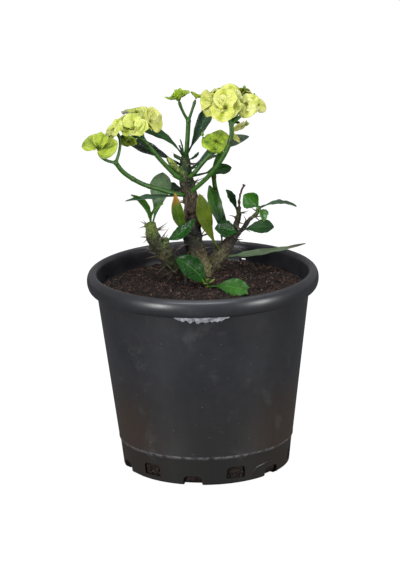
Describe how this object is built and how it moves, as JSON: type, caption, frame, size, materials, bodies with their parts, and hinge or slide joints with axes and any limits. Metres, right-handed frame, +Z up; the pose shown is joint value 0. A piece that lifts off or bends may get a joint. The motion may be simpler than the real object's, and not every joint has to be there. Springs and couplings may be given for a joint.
{
  "type": "potted euphorbia",
  "caption": "Spiny woody-stemmed euphorbia with dark leaves and rounded yellow-green blooms on green stalks, growing in soil in a round black nursery pot with a rolled rim.",
  "frame": {"origin": "centre of the pot's foot on the surface it stands on", "axes": "+Z up along the pot's axis; -Y is the front"},
  "size_m": [0.17, 0.17, 0.2877],
  "materials": {
    "black_plastic": "satin black with a soft sheen",
    "soil": "dark crumbly peat and fibre",
    "bark": "rough grey-brown bark with thorns",
    "stalk": "smooth fresh green",
    "leaf": "glossy dark green",
    "leaf_yellowing": "satin olive yellow",
    "shoot": "soft yellow-green",
    "bract": "soft satin yellow-green",
    "bract_green": "soft satin lime green"
  },
  "bodies": {
    "root": {"pot": "black_plastic", "soil": "soil", "woody_stems": "bark", "sprout": "shoot", "flower_stalk_left_low": "stalk", "flower_stalk_left_high": "stalk", "flower_stalk_middle": "stalk", "flower_stalk_right_front": "stalk", "flower_stalk_right_back": "stalk", "flower_stalk_low_right": "stalk", "bloom_left_outer": "bract", "bloom_left_outer_back": "bract", "bloom_left_front": "bract", "bloom_left_right": "bract", "bloom_left_top": "bract", "bloom_left_side": "bract", "bloom_left_low": "bract_green", "bloom_middle": "bract_green", "bud_middle": "bract_green", "bloom_right_front": "bract", "bloom_right_left": "bract", "bloom_right_right": "bract", "bloom_right_far": "bract", "bloom_right_top": "bract", "bloom_right_top_left": "bract", "bloom_right_top_right": "bract", "bloom_right_back": "bract", "bloom_right_low": "bract", "bloom_low_back": "bract", "bloom_low_front": "bract_green", "leaf_crown_tall": "leaf", "leaf_crown_back": "leaf", "leaf_crown_left_arched": "leaf", "leaf_crown_left_glossy": "leaf", "leaf_crown_bud": "leaf", "leaf_crown_small_right": "leaf", "leaf_crown_small_left": "leaf", "leaf_crown_right_long": "leaf", "leaf_right_round_behind": "leaf", "leaf_right_thin_behind": "leaf", "leaf_left_tall_behind": "leaf", "leaf_trunk_back": "leaf", "leaf_left_level": "leaf", "leaf_left_branch_curved": "leaf", "leaf_left_branch_small": "leaf", "leaf_trunk_orange_tip": "leaf_yellowing", "leaf_stub_glossy": "leaf", "leaf_right_yellowing": "leaf_yellowing", "leaf_right_dark_behind": "leaf", "leaf_right_round": "leaf", "leaf_twig_dark": "leaf", "leaf_twig_folded": "leaf", "leaf_twig_long": "leaf", "leaf_twig_curled_front": "leaf", "leaf_twig_curled_right": "leaf", "leaf_right_blunt": "leaf", "leaf_right_long_low": "leaf", "leaf_sprout_glossy": "leaf", "leaf_sprout_low": "leaf"}
  },
  "joints": []
}
